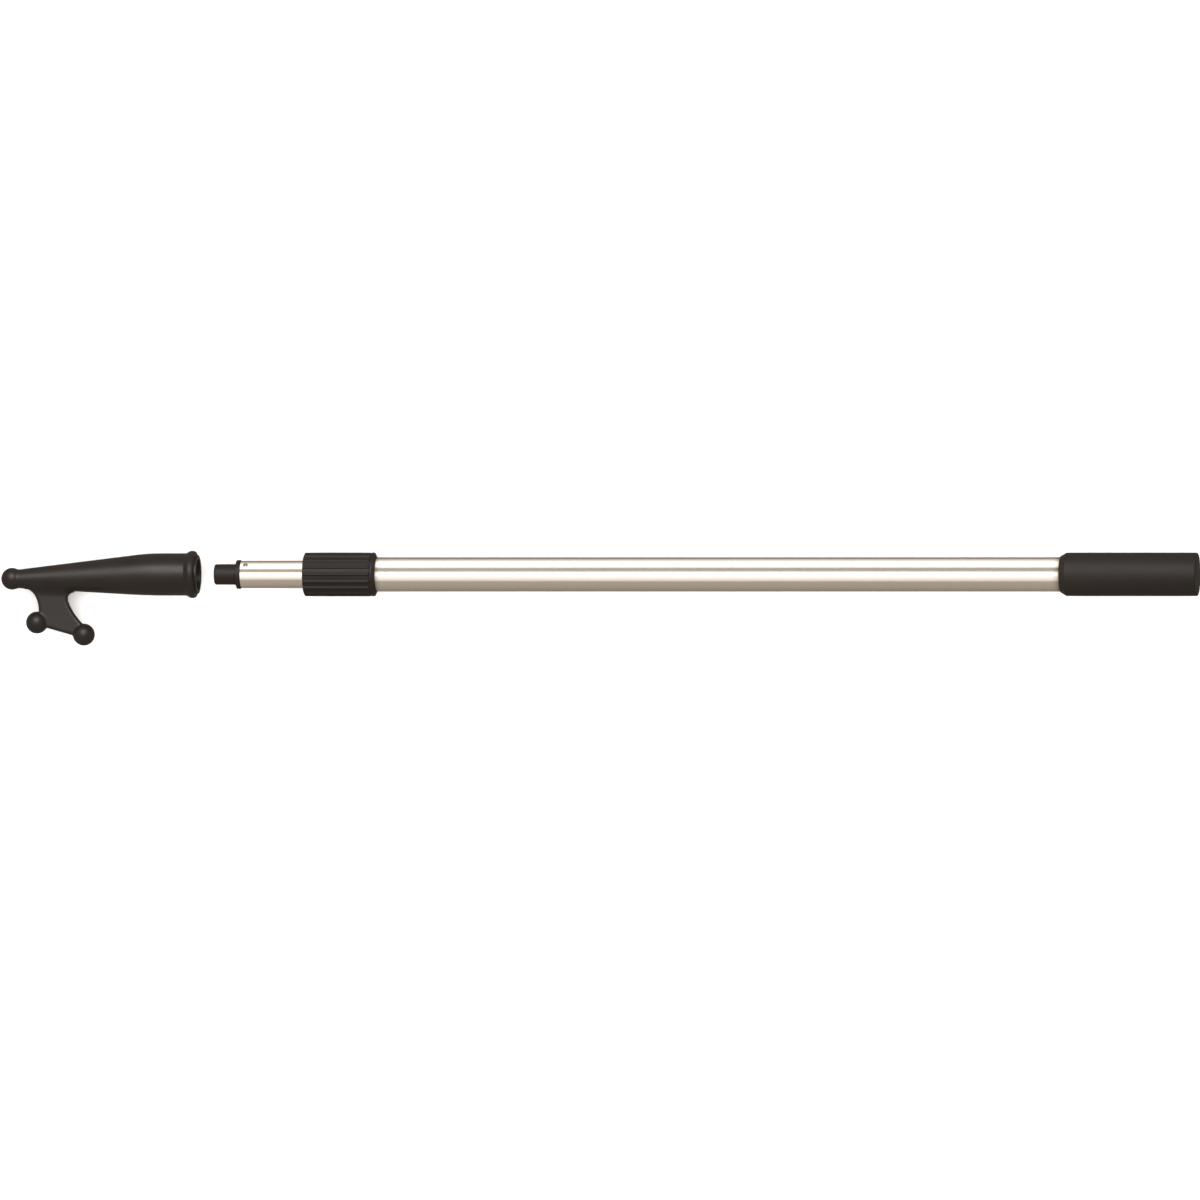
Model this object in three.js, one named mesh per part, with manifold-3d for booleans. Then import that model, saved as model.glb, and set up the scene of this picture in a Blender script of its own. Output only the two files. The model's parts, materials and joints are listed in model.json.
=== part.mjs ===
// A two-section telescoping boat hook: an aluminium pole with a twist-lock collar and a push-fit hook head.
// Units are millimetres. The pole lies along X with its butt face at X = 0 and its tip towards -X, +Z is up.
// Inside the pole group the local Y axis runs along the pole, so a "station" is the distance from the butt
// face towards the hook. Local X is the world's +Y, so the hook's prongs point towards local -X.

import * as THREE from "three";
import { mergeVertices } from "three/addons/utils/BufferGeometryUtils.js";
import Module from "manifold-3d";

const wasm = await Module();
wasm.setup();

// ---------------------------------------------------------------- driving dimensions
const CLEARANCE = 0.3;
const EDGE = 0.5;
const OVERSHOOT = 1;
const SEGMENTS = 36;
const PIN_SEGMENTS = 20;
const MERGE_TOLERANCE = 1e-3;

const OUTER_TUBE = { radius: 15.875, wall: 1.4, rear: 8.3, front: 802 };
const INNER_TUBE = { radius: 12.7, wall: 1.4, rear: 129.5, front: 894.5 };
const OUTER_BORE = OUTER_TUBE.radius - OUTER_TUBE.wall;
const INNER_BORE = INNER_TUBE.radius - INNER_TUBE.wall;
const SLIDING_BORE = INNER_TUBE.radius + CLEARANCE;

const GRIP = { radius: 20.1, length: 127.9, bevel: 5.6, bevelRadius: 16.7, endWall: 5.4, edge: 0.6 };
const BUTT_PLUG = { flange: 2.3, shank: 20, wall: 2.5 };
const PIN_ANGLES = [0, 180];

const FERRULE = { rear: 775, front: 806, radius: 17.2, pinStation: 779.5, pinRadius: 1.6 };
const THREAD = { pitch: 3, depth: 0.7, rootWidth: 1.5, crestWidth: 0.7, sunk: 0.4, start: 786.5, turns: 3 };
const THREAD_STEPS = 20;
const GUIDE_SLEEVE_REAR = 702;
const COLLET = {
  shoulder: 809,
  slotRear: 812,
  front: 823,
  rearRadius: 16.2,
  frontRadius: 14.2,
  fingers: 6,
  slot: 1.4,
};
const SQUEEZE_RING = { rear: 812, front: 826, radius: 17.2 };

const COLLAR = {
  lipRear: 767.5,
  rear: 768.1,
  front: 835,
  rimLength: 3.6,
  crestRadius: 20.55,
  rimRadius: 20.3,
  ribs: 18,
  ribSteps: 6,
  ribDepth: 1.1,
  ribFlank: -0.15,
  chamfer: 1.4,
  lipWall: 0.5,
  noseRadius: 17.3,
  rearWallFront: 772,
  reliefRadius: 18.3,
  threadRear: 787,
  threadFront: 796,
  runOut: 4,
  cavityRadius: 17.5,
  cavityFront: 826.3,
  noseBore: 13.3,
};
const WIPER = { rear: 829, front: 832, radius: 15.8, flare: 0.4 };

const TIP_PLUG = {
  shankRear: 864,
  flangeRear: 894.8,
  flangeFront: 898.6,
  tip: 919.3,
  flangeRadius: 13.4,
  spigotRadius: 9.525,
  corner: 1.6,
  coreRadius: 6.5,
  coreTaper: 2,
  coreFront: 913,
};
const TIP_RIVET = {
  station: 889.3,
  angle: 48,
  innerEnd: 9,
  shankRadius: 1.5,
  headRadius: 2,
  headHeight: 0.7,
  headEdge: 0.2,
  hollowRadius: 0.8,
  hollowDepth: 1.4,
};
const RIVET_ANGLES = [TIP_RIVET.angle, TIP_RIVET.angle + 180];
const HOLE_INNER_END = 8.7;
const REAR_PLUG = { front: 152, wall: 2.5 };
const REAR_BUSH = { length: 20, grooveRadius: 13.45, grooveWidth: 4.6, slit: 1.2 };
const REAR_PIN = { station: 139.5, radius: 1.5, innerEnd: 9, proud: 0.35 };

// The head's own stations run forward from its mouth, and it stands clear of the spigot.
const HEAD = {
  mouth: 934.7,
  lipRadius: 18,
  lipEnd: 1.6,
  grooveRadius: 18.2,
  grooveEnd: 2.1,
  beadRadius: 22.05,
  beadMiddle: 4.9,
  beadHalf: 2.7,
  beadEnd: 9.2,
  tubeStart: 11.3,
  tubeRadius: 19.6,
  tubeEnd: 46.8,
  neckEnd: 166.6,
  neckRadius: 8.9,
  neckDrop: 4,
  neckOverlap: 5,
  shoulder: 8,
};
const SOCKET = {
  counterRadius: 14.2,
  counterDepth: 5,
  radius: 9.825,
  depth: 26.8,
  coreMouth: 8.5,
  core: 7.5,
  coreDepth: 88,
  coreTip: 3,
};
const BALL_RADIUS = 10.2;
const TIP_BALL = { drop: 4, station: 175 };
const FRONT_BALL = { drop: 44.6, station: 151.7 };
const REAR_BALL = { drop: 55.8, station: 107.6 };
const WEB = { thickness: 9.6, bevel: 1.4, rootDrop: 8, curveSteps: 6 };

// The web's outline: a tall hollow ahead of the front prong, a straight lower edge, and a tight heel.
const FRONT_HOLLOW = { drop: 33.7, station: 162.7, across: 20.4, along: 13.1 };
const LOWER_EDGE = [
  { drop: 49.2, station: 143.2 },
  { drop: 56.5, station: 117.8 },
];
const REAR_EDGE = [
  { drop: 45.5, station: 109.2 },
  { drop: 36, station: 118.5 },
  { drop: 24.4, station: 122.8 },
];
const HEEL = { drop: 22.8, station: 116.9, radius: 6.1, start: 1.83 };

// ---------------------------------------------------------------- finishes
const FINISH = {
  aluminium: { color: 0xcfc6bb, roughness: 0.28, metalness: 1 },
  rivet: { color: 0xd2d2d0, roughness: 0.3, metalness: 1 },
  nylon: { color: 0x2d2824, roughness: 0.5, metalness: 0 },
  grip: { color: 0x2d2925, roughness: 0.65, metalness: 0 },
  acetal: { color: 0xe4e0d6, roughness: 0.5, metalness: 0 },
  rubber: { color: 0x1b1a19, roughness: 0.85, metalness: 0 },
};

// ---------------------------------------------------------------- helpers
const outerPole = new THREE.Group();
const squeezeGroup = new THREE.Group();
const lockNut = new THREE.Group();
const rearBushGroup = new THREE.Group();
const innerPole = new THREE.Group();
const hookHead = new THREE.Group();
hookHead.position.y = HEAD.mouth;

function addPart(group, name, geometry, finish) {
  const mesh = new THREE.Mesh(geometry, new THREE.MeshStandardMaterial(FINISH[finish]));
  mesh.name = name;
  group.add(mesh);
  return mesh;
}

// A turned piece from [station, radius] points, listed so that its material is on the axis side.
function turned(points, segments = SEGMENTS) {
  return new THREE.LatheGeometry(
    points.map(([station, radius]) => new THREE.Vector2(radius, station)),
    segments,
  );
}

// A turned piece with a hole right through it: its profile closes on itself.
function turnedRing(points) {
  return turned([...points, points[0]]);
}

function solid(geometry) {
  const bare = geometry.clone();
  bare.deleteAttribute("normal");
  bare.deleteAttribute("uv");
  const merged = mergeVertices(bare, MERGE_TOLERANCE);
  return new wasm.Manifold(
    new wasm.Mesh({
      numProp: 3,
      vertProperties: merged.attributes.position.array,
      triVerts: new Uint32Array(merged.index.array),
    }),
  );
}

function geometryOf(manifold) {
  const mesh = manifold.getMesh();
  const geometry = new THREE.BufferGeometry();
  geometry.setAttribute("position", new THREE.BufferAttribute(mesh.vertProperties, 3));
  geometry.setIndex(new THREE.BufferAttribute(mesh.triVerts, 1));
  return geometry;
}

function cut(geometry, ...tools) {
  return geometryOf(tools.reduce((body, tool) => body.subtract(solid(tool)), solid(geometry)));
}

// A round pin or drill lying along a radius of the pole, at an angle turned from local +X towards +Z.
function radialCylinder(station, degrees, radius, from, to) {
  const pin = new THREE.CylinderGeometry(radius, radius, to - from, PIN_SEGMENTS);
  pin.rotateZ(-Math.PI / 2);
  pin.translate((from + to) / 2, 0, 0);
  pin.rotateY(THREE.MathUtils.degToRad(-degrees));
  pin.translate(0, station, 0);
  return pin;
}

// A slot cutter standing on a radius of the pole, long enough to pass any wall.
function radialSlot(from, to, degrees, width) {
  const slot = new THREE.BoxGeometry(GRIP.radius, to - from, width);
  slot.translate(GRIP.radius / 2, (from + to) / 2, 0);
  slot.rotateY(THREE.MathUtils.degToRad(-degrees));
  return slot;
}

// A right-handed helical ridge: a straight bar of trapezoid section, wound round the pole.
function helix(rootRadius, crestRadius, rootWidth, crestWidth, start, turns) {
  const section = new THREE.Shape([
    new THREE.Vector2(rootRadius, -rootWidth / 2),
    new THREE.Vector2(crestRadius, -crestWidth / 2),
    new THREE.Vector2(crestRadius, crestWidth / 2),
    new THREE.Vector2(rootRadius, rootWidth / 2),
  ]);
  const steps = THREAD_STEPS * turns;
  const bar = new THREE.ExtrudeGeometry(section, { depth: 1, steps, bevelEnabled: false });
  const place = bar.attributes.position;
  for (let i = 0; i < place.count; i += 1) {
    const turn = place.getZ(i) * turns;
    const angle = -turn * 2 * Math.PI;
    const radius = place.getX(i);
    const station = start - place.getY(i) + turn * THREAD.pitch;
    place.setXYZ(i, radius * Math.cos(angle), station, radius * Math.sin(angle));
  }
  return bar;
}

// ---------------------------------------------------------------- outer pole
const ferrulePinHoles = PIN_ANGLES.map((angle) =>
  radialCylinder(FERRULE.pinStation, angle, FERRULE.pinRadius + CLEARANCE, INNER_BORE, GRIP.radius),
);

function outerTube() {
  const { rear, front, radius } = OUTER_TUBE;
  const tube = turnedRing([
    [rear, OUTER_BORE],
    [rear, radius],
    [front, radius],
    [front, OUTER_BORE],
  ]);
  return cut(tube, ...ferrulePinHoles);
}

function handGrip() {
  const { radius, length, bevel, bevelRadius, endWall, edge } = GRIP;
  const bore = OUTER_TUBE.radius + CLEARANCE;
  return turned([
    [0, 0],
    [0, radius - edge],
    [edge, radius],
    [length - bevel, radius],
    [length, bevelRadius],
    [length, bore],
    [endWall, bore],
    [endWall, 0],
  ]);
}

function buttPlug() {
  const rear = GRIP.endWall + CLEARANCE;
  const shoulder = rear + BUTT_PLUG.flange;
  const radius = OUTER_BORE - CLEARANCE;
  const front = shoulder + BUTT_PLUG.shank;
  return turned([
    [rear, 0],
    [rear, OUTER_TUBE.radius],
    [shoulder, OUTER_TUBE.radius],
    [shoulder, radius],
    [front, radius],
    [front, radius - BUTT_PLUG.wall],
    [shoulder, radius - BUTT_PLUG.wall],
    [shoulder, 0],
  ]);
}

function lockFerrule() {
  const { rear, front, radius } = FERRULE;
  const tubeBore = OUTER_TUBE.radius + CLEARANCE;
  const shoulder = OUTER_TUBE.front + CLEARANCE;
  const sleeve = turnedRing([
    [rear, tubeBore],
    [rear, radius - EDGE],
    [rear + EDGE, radius],
    [front - EDGE, radius],
    [front, radius - EDGE],
    [front, SLIDING_BORE],
    [shoulder, SLIDING_BORE],
    [shoulder, tubeBore],
  ]);
  const ridge = helix(
    radius - THREAD.sunk,
    radius + THREAD.depth,
    THREAD.rootWidth,
    THREAD.crestWidth,
    THREAD.start,
    THREAD.turns,
  );
  const threaded = solid(sleeve).add(solid(ridge));
  return geometryOf(ferrulePinHoles.reduce((body, hole) => body.subtract(solid(hole)), threaded));
}

function guideSleeve() {
  const front = OUTER_TUBE.front - CLEARANCE;
  const sleeve = turnedRing([
    [GUIDE_SLEEVE_REAR, SLIDING_BORE],
    [GUIDE_SLEEVE_REAR, OUTER_BORE - CLEARANCE],
    [front, OUTER_BORE - CLEARANCE],
    [front, SLIDING_BORE],
  ]);
  return cut(sleeve, ...ferrulePinHoles);
}

// A tapered sprung ring: one slot goes right through it, and the others leave its rear end whole.
function clampCollet() {
  const rear = FERRULE.front + CLEARANCE;
  const { front, shoulder, slotRear, rearRadius, frontRadius, fingers, slot } = COLLET;
  const ring = turnedRing([
    [rear, SLIDING_BORE],
    [rear, rearRadius],
    [shoulder, rearRadius],
    [front, frontRadius],
    [front, SLIDING_BORE],
  ]);
  const slots = Array.from({ length: fingers }, (_, i) => {
    const from = i === 0 ? rear - OVERSHOOT : slotRear;
    return radialSlot(from, front + OVERSHOOT, (360 / fingers) * i, slot);
  });
  return cut(ring, ...slots);
}

addPart(outerPole, "outer_tube", outerTube(), "aluminium");
addPart(outerPole, "hand_grip", handGrip(), "grip");
addPart(outerPole, "butt_plug", buttPlug(), "nylon");
addPart(outerPole, "lock_ferrule", lockFerrule(), "acetal");
addPart(outerPole, "front_guide_sleeve", guideSleeve(), "acetal");
addPart(outerPole, "clamp_collet", clampCollet(), "acetal");
PIN_ANGLES.forEach((angle, i) => {
  const { pinStation, pinRadius, radius } = FERRULE;
  const pin = radialCylinder(pinStation, angle, pinRadius, SLIDING_BORE + CLEARANCE, radius);
  addPart(outerPole, `ferrule_pin_${i + 1}`, pin, "rivet");
});

// ---------------------------------------------------------------- twist lock
function squeezeRing() {
  const { rear, front, radius } = SQUEEZE_RING;
  const { shoulder, rearRadius, frontRadius } = COLLET;
  const taper = (rearRadius - frontRadius) / (COLLET.front - shoulder);
  const boreAt = (station) => rearRadius - taper * (station - shoulder) + CLEARANCE;
  return turnedRing([
    [rear, boreAt(rear)],
    [rear, radius],
    [front, radius],
    [front, boreAt(front)],
  ]);
}

// The collar's ribbed section: rounded ridges with flat-bottomed grooves, one ridge facing straight up.
function ribOutline() {
  const { ribs, ribSteps, ribDepth, ribFlank, crestRadius } = COLLAR;
  const count = ribs * ribSteps;
  const points = Array.from({ length: count }, (_, i) => {
    const angle = (2 * Math.PI * i) / count;
    const wave = Math.max(0, Math.cos(ribs * (angle - Math.PI / 2)) + ribFlank) / (1 + ribFlank);
    const radius = crestRadius - ribDepth + ribDepth * Math.sqrt(wave);
    return new THREE.Vector2(radius * Math.cos(angle), radius * Math.sin(angle));
  });
  return new THREE.Shape(points);
}

function lockCollar() {
  const { lipRear, rear, front, rimLength, crestRadius, rimRadius, chamfer } = COLLAR;
  const tubeBore = OUTER_TUBE.radius + CLEARANCE;
  const ribStart = rear + rimLength - OVERSHOOT;

  const ribs = new THREE.ExtrudeGeometry(ribOutline(), { depth: front - ribStart, bevelEnabled: false });
  ribs.rotateX(-Math.PI / 2);
  ribs.translate(0, ribStart, 0);
  const envelope = turned([
    [ribStart, 0],
    [ribStart, rimRadius - chamfer],
    [ribStart + 2 * chamfer, rimRadius + chamfer],
    [front - 2 * chamfer, crestRadius + chamfer],
    [front, crestRadius - chamfer],
    [front, 0],
  ]);
  const rim = turned([
    [lipRear, 0],
    [lipRear, tubeBore + COLLAR.lipWall],
    [rear, COLLAR.noseRadius],
    [rear + chamfer, rimRadius],
    [rear + rimLength, rimRadius],
    [rear + rimLength, 0],
  ]);
  const inside = turned([
    [lipRear - OVERSHOOT, 0],
    [lipRear - OVERSHOOT, tubeBore],
    [COLLAR.rearWallFront, tubeBore],
    [COLLAR.rearWallFront, COLLAR.reliefRadius],
    [COLLAR.threadRear, COLLAR.reliefRadius],
    [COLLAR.threadRear, COLLAR.cavityRadius],
    [COLLAR.cavityFront, COLLAR.cavityRadius],
    [COLLAR.cavityFront, COLLAR.noseBore],
    [WIPER.rear, COLLAR.noseBore],
    [WIPER.rear, WIPER.radius],
    [WIPER.front, WIPER.radius],
    [WIPER.front, COLLAR.noseBore],
    [front + OVERSHOOT, COLLAR.noseBore],
    [front + OVERSHOOT, 0],
  ]);
  const runOut = turned([
    [COLLAR.threadFront, 0],
    [COLLAR.threadFront, COLLAR.reliefRadius],
    [COLLAR.threadFront + COLLAR.runOut, COLLAR.reliefRadius],
    [COLLAR.threadFront + COLLAR.runOut, 0],
  ]);
  const groove = helix(
    FERRULE.radius - THREAD.sunk,
    FERRULE.radius + THREAD.depth + CLEARANCE,
    THREAD.rootWidth + 2 * CLEARANCE,
    THREAD.crestWidth + 2 * CLEARANCE,
    THREAD.start - THREAD.pitch,
    THREAD.turns + 2,
  );
  return geometryOf(
    solid(ribs)
      .intersect(solid(envelope))
      .add(solid(rim))
      .subtract(solid(inside))
      .subtract(solid(runOut))
      .subtract(solid(groove)),
  );
}

// A rubber ring in the collar's nose, with a lip that comes to an edge round the sliding tube.
function wiperSeal() {
  const rear = WIPER.rear + CLEARANCE;
  const front = WIPER.front - CLEARANCE;
  const radius = WIPER.radius - CLEARANCE;
  return turnedRing([
    [rear, SLIDING_BORE + WIPER.flare],
    [rear, radius],
    [front, radius],
    [front, SLIDING_BORE + WIPER.flare],
    [(rear + front) / 2, SLIDING_BORE],
  ]);
}

addPart(squeezeGroup, "squeeze_ring", squeezeRing(), "acetal");
addPart(lockNut, "lock_collar", lockCollar(), "nylon");
addPart(lockNut, "wiper_seal", wiperSeal(), "rubber");

// ---------------------------------------------------------------- inner pole
const rivetHoles = RIVET_ANGLES.map((angle) =>
  radialCylinder(TIP_RIVET.station, angle, TIP_RIVET.shankRadius + CLEARANCE, HOLE_INNER_END, GRIP.radius),
);
const rearPinHoles = PIN_ANGLES.map((angle) =>
  radialCylinder(REAR_PIN.station, angle, REAR_PIN.radius + CLEARANCE, HOLE_INNER_END, GRIP.radius),
);

function innerTube() {
  const { rear, front, radius } = INNER_TUBE;
  const tube = turnedRing([
    [rear, INNER_BORE],
    [rear, radius],
    [front, radius],
    [front, INNER_BORE],
  ]);
  return cut(tube, ...rivetHoles, ...rearPinHoles);
}

function tipPlug() {
  const { shankRear, flangeRear, flangeFront, tip, flangeRadius, spigotRadius, corner } = TIP_PLUG;
  const { coreFront, coreTaper, coreRadius } = TIP_PLUG;
  const shankRadius = INNER_BORE - CLEARANCE;
  const rounded = [0, 30, 60, 90].map((degrees) => {
    const angle = THREE.MathUtils.degToRad(degrees);
    return [
      tip - corner + corner * Math.sin(angle),
      spigotRadius - corner + corner * Math.cos(angle),
    ];
  });
  const plug = turned([
    [coreFront, 0],
    [coreFront - coreTaper, coreRadius],
    [shankRear, coreRadius + EDGE],
    [shankRear, shankRadius - EDGE],
    [shankRear + EDGE, shankRadius],
    [flangeRear, shankRadius],
    [flangeRear, flangeRadius],
    [flangeFront - EDGE, flangeRadius],
    [flangeFront, flangeRadius - EDGE],
    [flangeFront, spigotRadius],
    ...rounded,
    [tip, 0],
  ]);
  return cut(plug, ...rivetHoles);
}

// A blind rivet: a shank through the tube wall into the plug, and a low domed head with a hollow middle.
function tipRivet(angle) {
  const { station, innerEnd, shankRadius, headRadius, headHeight, headEdge, hollowRadius } = TIP_RIVET;
  const headBase = INNER_TUBE.radius + CLEARANCE / 2;
  const dome = [0, 30, 60].map((degrees) => {
    const lean = THREE.MathUtils.degToRad(degrees);
    return [
      headBase + headEdge + (headHeight - headEdge) * Math.sin(lean),
      headRadius * Math.cos(lean),
    ];
  });
  const rivet = turned(
    [
      [innerEnd, 0],
      [innerEnd, shankRadius],
      [headBase, shankRadius],
      [headBase, headRadius],
      ...dome,
      [headBase + headHeight, hollowRadius],
      [headBase + headHeight - TIP_RIVET.hollowDepth, hollowRadius],
      [headBase + headHeight - TIP_RIVET.hollowDepth, 0],
    ],
    PIN_SEGMENTS,
  );
  rivet.rotateZ(-Math.PI / 2);
  rivet.rotateY(THREE.MathUtils.degToRad(-angle));
  rivet.translate(0, station, 0);
  return rivet;
}

function rearPlug() {
  const rear = INNER_TUBE.rear;
  const radius = INNER_BORE - CLEARANCE;
  const plug = turned([
    [rear, 0],
    [rear, radius],
    [REAR_PLUG.front, radius],
    [REAR_PLUG.front, radius - REAR_PLUG.wall],
    [rear + REAR_PLUG.wall, radius - REAR_PLUG.wall],
    [rear + REAR_PLUG.wall, 0],
  ]);
  return cut(plug, ...rearPinHoles);
}

// A split ring that snaps over the tube's rear end; its inner groove takes the heads of the pins.
function rearBush() {
  const rear = INNER_TUBE.rear;
  const front = rear + REAR_BUSH.length;
  const grooveRear = REAR_PIN.station - REAR_BUSH.grooveWidth / 2;
  const grooveFront = grooveRear + REAR_BUSH.grooveWidth;
  const ring = turnedRing([
    [rear, SLIDING_BORE],
    [rear, OUTER_BORE - CLEARANCE],
    [front, OUTER_BORE - CLEARANCE],
    [front, SLIDING_BORE],
    [grooveFront, SLIDING_BORE],
    [grooveFront, REAR_BUSH.grooveRadius],
    [grooveRear, REAR_BUSH.grooveRadius],
    [grooveRear, SLIDING_BORE],
  ]);
  return cut(ring, radialSlot(rear - OVERSHOOT, front + OVERSHOOT, 90, REAR_BUSH.slit));
}

addPart(innerPole, "inner_tube", innerTube(), "aluminium");
addPart(innerPole, "tip_plug", tipPlug(), "nylon");
RIVET_ANGLES.forEach((angle, i) => {
  addPart(innerPole, `tip_rivet_${i + 1}`, tipRivet(angle), "rivet");
});
addPart(innerPole, "inner_rear_plug", rearPlug(), "nylon");
PIN_ANGLES.forEach((angle, i) => {
  const { station, radius, innerEnd, proud } = REAR_PIN;
  const pin = radialCylinder(station, angle, radius, innerEnd, INNER_TUBE.radius + proud);
  addPart(innerPole, `rear_plug_pin_${i + 1}`, pin, "rivet");
});
addPart(rearBushGroup, "rear_guide_bush", rearBush(), "acetal");

// ---------------------------------------------------------------- hook head
// The tapered body: a lip and a round bead at its mouth, a straight tube, and a long cone that leans down.
function headBody() {
  const { lipRadius, beadRadius, beadHalf, tubeRadius, tubeEnd, neckEnd, neckRadius, shoulder } = HEAD;
  const neckFront = neckEnd + HEAD.neckOverlap;
  const slope = (tubeRadius - neckRadius) / (neckEnd - tubeEnd);
  const bead = [-60, -30, 0, 30, 60].map((degrees) => {
    const angle = THREE.MathUtils.degToRad(degrees);
    return [
      HEAD.beadMiddle + beadHalf * Math.sin(angle),
      beadRadius - beadHalf * (1 - Math.cos(angle)),
    ];
  });
  const body = turned([
    [0, 0],
    [0, lipRadius - EDGE],
    [EDGE, lipRadius],
    [HEAD.lipEnd, lipRadius],
    [HEAD.grooveEnd, HEAD.grooveRadius],
    ...bead,
    [HEAD.beadEnd, tubeRadius + EDGE],
    [HEAD.tubeStart, tubeRadius],
    [tubeEnd - shoulder, tubeRadius],
    [tubeEnd, tubeRadius - (slope * shoulder) / 4],
    [tubeEnd + shoulder, tubeRadius - slope * shoulder],
    [(tubeEnd + neckEnd) / 2, (tubeRadius + neckRadius) / 2],
    [neckEnd, neckRadius],
    [neckFront, neckRadius - slope * HEAD.neckOverlap],
    [neckFront, 0],
  ]);
  const place = body.attributes.position;
  for (let i = 0; i < place.count; i += 1) {
    const along = Math.max(0, place.getY(i) - tubeEnd) / (neckEnd - tubeEnd);
    place.setX(i, place.getX(i) - HEAD.neckDrop * along);
  }
  return body;
}

function ball({ drop, station }) {
  const sphere = new THREE.SphereGeometry(BALL_RADIUS, PIN_SEGMENTS, 12);
  sphere.translate(-drop, station, 0);
  return sphere;
}

// The flat web that carries the two prongs, drawn with its drop towards local -X.
function web() {
  const outline = new THREE.Shape();
  outline.moveTo(-WEB.rootDrop, HEEL.station);
  outline.lineTo(-WEB.rootDrop, FRONT_HOLLOW.station);
  outline.absellipse(
    -FRONT_HOLLOW.drop,
    FRONT_HOLLOW.station,
    FRONT_HOLLOW.across,
    FRONT_HOLLOW.along,
    0,
    -Math.PI / 2,
    true,
  );
  outline.lineTo(-FRONT_BALL.drop, FRONT_HOLLOW.station - FRONT_HOLLOW.along);
  LOWER_EDGE.forEach(({ drop, station }) => outline.lineTo(-drop, station));
  outline.lineTo(-REAR_BALL.drop, REAR_BALL.station);
  const [start, bend, end] = REAR_EDGE;
  outline.lineTo(-start.drop, start.station);
  outline.quadraticCurveTo(-bend.drop, bend.station, -end.drop, end.station);
  outline.absarc(-HEEL.drop, HEEL.station, HEEL.radius, HEEL.start, 0, true);
  const { thickness, bevel } = WEB;
  const plate = new THREE.ExtrudeGeometry(outline, {
    depth: thickness - 2 * bevel,
    bevelThickness: bevel,
    bevelSize: bevel,
    bevelOffset: -bevel,
    bevelSegments: 1,
    curveSegments: WEB.curveSteps,
  });
  plate.translate(0, 0, bevel - thickness / 2);
  return plate;
}

// The push-fit socket, and beyond it the moulding's long core hole.
function socket() {
  const { counterRadius, counterDepth, radius, depth, coreMouth, core, coreDepth, coreTip } = SOCKET;
  return turned([
    [-OVERSHOOT, 0],
    [-OVERSHOOT, counterRadius],
    [counterDepth, counterRadius],
    [counterDepth, radius],
    [depth, radius],
    [depth, coreMouth],
    [coreDepth, core],
    [coreDepth + coreTip, 0],
  ]);
}

function hookMoulding() {
  const joined = [ball(TIP_BALL), ball(FRONT_BALL), ball(REAR_BALL), web()].reduce(
    (body, piece) => body.add(solid(piece)),
    solid(headBody()),
  );
  return geometryOf(joined.subtract(solid(socket())));
}

addPart(hookHead, "hook_head", hookMoulding(), "nylon");

// ---------------------------------------------------------------- the whole boat hook
innerPole.add(hookHead);
rearBushGroup.add(innerPole);
squeezeGroup.add(lockNut);
outerPole.add(squeezeGroup, rearBushGroup);
outerPole.rotation.z = Math.PI / 2;

const boatHook = new THREE.Group();
boatHook.add(outerPole);

export default boatHook;
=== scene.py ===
import json
import math

import bmesh
import bpy
import numpy as np
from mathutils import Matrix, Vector


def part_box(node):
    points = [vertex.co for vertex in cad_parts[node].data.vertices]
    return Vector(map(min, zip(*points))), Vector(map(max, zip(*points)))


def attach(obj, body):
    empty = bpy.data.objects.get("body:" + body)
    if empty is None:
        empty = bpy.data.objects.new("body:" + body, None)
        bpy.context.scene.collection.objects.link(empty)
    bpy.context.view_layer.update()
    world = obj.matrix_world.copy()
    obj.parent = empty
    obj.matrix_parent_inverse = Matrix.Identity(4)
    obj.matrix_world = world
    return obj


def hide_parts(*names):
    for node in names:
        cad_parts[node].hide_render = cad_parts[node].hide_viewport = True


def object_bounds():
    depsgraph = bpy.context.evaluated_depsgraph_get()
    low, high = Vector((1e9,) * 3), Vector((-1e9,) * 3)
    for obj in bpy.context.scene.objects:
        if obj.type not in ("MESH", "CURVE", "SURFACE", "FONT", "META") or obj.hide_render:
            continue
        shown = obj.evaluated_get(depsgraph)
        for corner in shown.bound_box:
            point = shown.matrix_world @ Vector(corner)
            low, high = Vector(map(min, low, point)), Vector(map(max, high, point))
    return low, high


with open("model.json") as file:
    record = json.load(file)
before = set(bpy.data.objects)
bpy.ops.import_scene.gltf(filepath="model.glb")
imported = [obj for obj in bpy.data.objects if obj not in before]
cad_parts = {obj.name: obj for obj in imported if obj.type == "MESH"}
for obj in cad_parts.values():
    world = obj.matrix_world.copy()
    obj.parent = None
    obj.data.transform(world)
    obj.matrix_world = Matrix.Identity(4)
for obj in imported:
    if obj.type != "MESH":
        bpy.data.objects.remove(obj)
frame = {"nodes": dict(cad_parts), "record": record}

# Metres, in the CAD's own frame: the pole lies along X with its butt face at X = 0 and its tip towards -X,
# the hook's prongs point to -Y, and +Z is square to the hook's web.
cad_low, cad_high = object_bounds()
MM = 0.001

SEGMENTS = 144              # facets round a turned piece
ON_AXIS = 1e-7              # a radius below this is a point on the axis
SAME = 1e-9                 # two lengths that differ by less are the same
CLEARANCE = 0.3 * MM        # between a tube and what it fits
TUBE_WALL = 1.4 * MM
SPIGOT_RADIUS = 9.525 * MM
CENTRE_X = -560 * MM        # the object's middle, for the floor and the lamps


def ends(node):
    """The lowest and highest X of a CAD node."""
    low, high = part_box(node)
    return low.x, high.x


def half_width(node):
    """The radius of a round CAD node, from its size across Y."""
    low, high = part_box(node)
    return (high.y - low.y) / 2


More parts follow.
